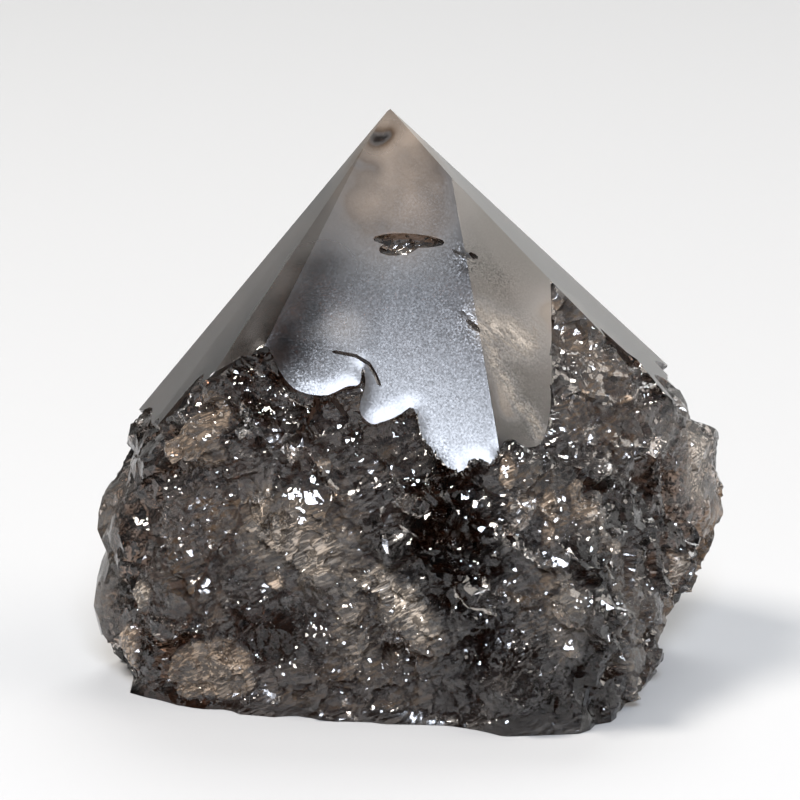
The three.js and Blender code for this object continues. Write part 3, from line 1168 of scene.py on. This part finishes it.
        folds = add_node(tree, "ShaderNodeTexNoise", {}, {
            "Vector": drawn.outputs["Vector"], "Scale": given["Ribs in a metre"], "Detail": 0.0})
        ridge = add_node(tree, "ShaderNodeMath", {"operation": "MULTIPLY_ADD"},
                         {0: folds.outputs["Fac"], 1: ribs, 2: lift})
        depth = add_node(tree, "ShaderNodeMath", {"operation": "MULTIPLY_ADD"},
                         {0: height, 1: relief, 2: ridge.outputs["Value"]})
        out = add_node(tree, "GeometryNodeInputNormal", {}, {}).outputs["Normal"]
        push = add_node(tree, "ShaderNodeVectorMath", {"operation": "SCALE"},
                        {0: out, "Scale": depth.outputs["Value"]})
        broken = add_node(tree, "GeometryNodeSetPosition", {},
                          {"Geometry": given["Geometry"], "Offset": push.outputs["Vector"]})
        whole = add_node(tree, "GeometryNodeRealizeInstances", {}, {"Geometry": broken.outputs["Geometry"]})
        dressed = add_node(tree, "GeometryNodeSetMaterial", {},
                           {"Geometry": whole.outputs["Geometry"], "Material": self.quartz.material()})
        add_node(tree, "NodeGroupOutput", {}, {"Geometry": dressed.outputs["Geometry"]})
        return tree, values

    def break_skin(self, stone: bpy.types.Object) -> None:
        """Runs the chip tree on the stone and keeps the result, above the floor, as its plain mesh.

        Args:
            stone: The stone's object.
        """
        tree, values = self.chip_tree()
        chipper = stone.modifiers.new("broken chips", "NODES")
        chipper.node_group = tree
        for socket in tree.interface.items_tree:
            if socket.name in values:
                chipper[socket.identifier] = values[socket.name]
        bpy.context.view_layer.update()
        seen = stone.evaluated_get(bpy.context.evaluated_depsgraph_get())
        broken = bpy.data.meshes.new_from_object(seen)
        places = np.empty(3 * len(broken.vertices), np.float32)
        broken.vertices.foreach_get("co", places)
        places[2::3] = np.maximum(places[2::3], 0)
        broken.vertices.foreach_set("co", places)
        stone.modifiers.remove(chipper)
        stone.data = broken
        broken.name = "crystal_point"

    def crease_edges(self, mesh: bpy.types.Mesh) -> None:
        """Marks the edges that stay sharp: borders of the polished faces and steep chip edges.

        Args:
            mesh: The stone's mesh.
        """
        shape = bmesh.new()
        shape.from_mesh(mesh)
        facet = shape.faces.layers.int["facet"]
        steep = math.radians(self.crease)
        for edge in shape.edges:
            one, other = edge.link_faces
            edge.smooth = one[facet] == other[facet] and edge.calc_face_angle() < steep
        shape.to_mesh(mesh)
        shape.free()

    def dress(self, stone: bpy.types.Object) -> None:
        """Ties the stone to the frame.

        Args:
            stone: The stone's object.
        """
        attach(stone, "root")
        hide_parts("crystal")


@dataclass(frozen=True)
class MattPaper:
    """Matt white paper, pressed without a coating: an even pale grey with no gloss to see.

    Attributes:
        colour: Colour of the paper in this light.
        roughness: Roughness of bare paper.
        shine: Strength of its reflection.
    """

    colour: str = "9c9d9e"
    roughness: float = 0.9
    shine: float = 0.1

    def material(self) -> bpy.types.Material:
        """Makes the paper's material.

        Returns:
            The material.
        """
        material = bpy.data.materials.new("matt white paper")
        material.use_nodes = True
        tree = material.node_tree
        tree.nodes.clear()
        shader = add_node(tree, "ShaderNodeBsdfPrincipled", {}, {
            "Base Color": linear(self.colour),
            "Roughness": self.roughness,
            "Specular IOR Level": self.shine,
        })
        add_node(tree, "ShaderNodeOutputMaterial", {}, {"Surface": shader.outputs["BSDF"]})
        return material


@dataclass(frozen=True)
class SoftLight:
    """A soft box that looks at the stone.

    Attributes:
        name: Name of the light.
        azimuth: Degrees from the front towards the right.
        rise: Degrees above level.
        distance: Distance from the stone in millimetres.
        width: Side of the box in millimetres.
        watts: Power.
        colour: Colour of the light.
    """

    name: str
    azimuth: float
    rise: float
    distance: float
    width: float
    watts: float
    colour: str


@dataclass
class Studio:
    """Pale floor, soft lights and the camera.

    Lengths are in millimetres and angles in degrees.

    Attributes:
        floor_radius: Radius of the floor.
        floor_gap: How far the floor is under the stone.
        floor_sides: Straight sides of the floor's rim.
        world_colour: Colour of the surround.
        world_front: Strength of the surround in front of the stone.
        world_back: Strength behind it.
        world_way: Way to the brightest side.
        world_start: How far round from that side the surround is dimmest, as a cosine.
        world_end: How far round it is brightest, as a cosine.
        lights: The soft boxes.
        aim: Point that the camera looks at, seen from the tip.
        rise: Angle of the camera above level.
        distance: Distance of the camera.
        focal_pixels: Focal length in pixels of the picture.
        image_pixels: Width of the picture in pixels.
        sensor: Width of the sensor.
        nearest: Nearest thing that the camera sees.
        bounces: How often light may bounce in the stone.
        diffuse_bounces: How often it may bounce off the floor.
        paper: Finish of the floor.
    """

    floor_radius: float = 2500.0
    floor_gap: float = 0.05
    floor_sides: int = 96
    world_colour: str = "f6f6f4"
    world_front: float = 0.04
    world_back: float = 1.25
    world_way: Point = (0.75, 0.66, 0.0)
    world_start: float = -0.2
    world_end: float = 1.0
    lights: tuple[SoftLight, ...] = (
        SoftLight("key_light", -54, 56, 1800, 520, 49.0, "fff7ee"),
        SoftLight("front_light", 4, 35, 2000, 560, 58.0, "e5edfb"),
        SoftLight("right_light", 70, 45, 2000, 1000, 19.0, "fff6ec"),
        SoftLight("back_light", 170, 55, 1800, 900, 20.0, "ffffff"),
    )
    aim: Point = (1.15, -3.0, -35.1)
    rise: float = 13.0
    distance: float = 520.0
    focal_pixels: float = 4300.0
    image_pixels: float = 800.0
    sensor: float = 36.0
    nearest: float = 10.0
    bounces: int = 5
    diffuse_bounces: int = 1
    paper: MattPaper = MattPaper()

    def target(self) -> Vector:
        """Point that the camera looks at, set from the stone's tip."""
        tip = max((v.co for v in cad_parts["crystal"].data.vertices), key=lambda co: co.z)
        return tip + Vector(self.aim) * MM

    def direction(self, azimuth: float, rise: float) -> Vector:
        """Unit vector from the stone towards a place in the studio.

        Args:
            azimuth: Degrees from the front towards the right.
            rise: Degrees above level.

        Returns:
            The vector.
        """
        turn, lift = math.radians(azimuth), math.radians(rise)
        return Vector((math.cos(lift) * math.sin(turn), -math.cos(lift) * math.cos(turn), math.sin(lift)))

    def look(self, thing: bpy.types.Object, place: Vector) -> None:
        """Puts a camera or a light at a place and turns it to the target.

        Args:
            thing: The camera's or light's object.
            place: Where it goes.
        """
        thing.location = place
        thing.rotation_euler = (self.target() - place).to_track_quat("-Z", "Y").to_euler()
        bpy.context.scene.collection.objects.link(thing)

    def make_floor(self) -> None:
        """Makes the round pale floor."""
        shape = bmesh.new()
        bmesh.ops.create_circle(shape, cap_ends=True, segments=self.floor_sides,
                                radius=self.floor_radius * MM)
        bmesh.ops.translate(shape, verts=shape.verts, vec=(0, 0, -self.floor_gap * MM))
        mesh = bpy.data.meshes.new("floor")
        shape.to_mesh(mesh)
        shape.free()
        mesh.materials.append(self.paper.material())
        floor = bpy.data.objects.new("floor", mesh)
        bpy.context.scene.collection.objects.link(floor)

    def make_world(self) -> None:
        """Makes a pale surround, brightest behind the stone at the right and dim in front of it."""
        world = bpy.data.worlds.new("pale surround")
        world.use_nodes = True
        tree = world.node_tree
        tree.nodes.clear()
        way = add_node(tree, "ShaderNodeTexCoord", {}, {}).outputs["Generated"]
        behind = add_node(tree, "ShaderNodeVectorMath", {"operation": "DOT_PRODUCT"},
                          {0: way, 1: self.world_way})
        strength = add_node(tree, "ShaderNodeMapRange", {"interpolation_type": "SMOOTHSTEP"}, {
            "Value": behind.outputs["Value"],
            "From Min": self.world_start,
            "From Max": self.world_end,
            "To Min": self.world_front,
            "To Max": self.world_back,
        })
        glow = add_node(tree, "ShaderNodeBackground", {},
                        {"Color": linear(self.world_colour), "Strength": strength.outputs["Result"]})
        add_node(tree, "ShaderNodeOutputWorld", {}, {"Surface": glow.outputs["Background"]})
        bpy.context.scene.world = world

    def make_lights(self) -> None:
        """Hangs the soft boxes."""
        for box in self.lights:
            data = bpy.data.lights.new(box.name, "AREA")
            data.size = box.width * MM
            data.energy = box.watts
            data.color = linear(box.colour)[:3]
            light = bpy.data.objects.new(box.name, data)
            self.look(light, self.target() + self.direction(box.azimuth, box.rise) * box.distance * MM)

    def make_camera(self) -> None:
        """Sets the camera at the photograph's angle."""
        data = bpy.data.cameras.new("camera")
        data.sensor_width = self.sensor
        data.lens = self.focal_pixels / self.image_pixels * self.sensor
        data.clip_start = self.nearest * MM
        camera = bpy.data.objects.new("camera", data)
        self.look(camera, self.target() + self.direction(0, self.rise) * self.distance * MM)
        bpy.context.scene.camera = camera

    def build(self) -> None:
        """Makes the whole studio."""
        self.make_floor()
        self.make_world()
        self.make_lights()
        self.make_camera()
        scene = bpy.context.scene
        scene.view_settings.view_transform = "Standard"
        scene.cycles.max_bounces = self.bounces
        scene.cycles.transmission_bounces = self.bounces
        scene.cycles.diffuse_bounces = self.diffuse_bounces


def main() -> None:
    """Builds the studio and the stone, and reports each piece."""
    logging.basicConfig(level=logging.INFO, format="%(name)s: %(message)s")
    Studio().build()
    log.info("studio: floor, lights and camera")
    point = CrystalPoint()
    stone = point.build()
    point.dress(stone)
    log.info("%s: %d triangles", stone.name, len(stone.data.polygons))


if __name__ == "__main__":
    main()
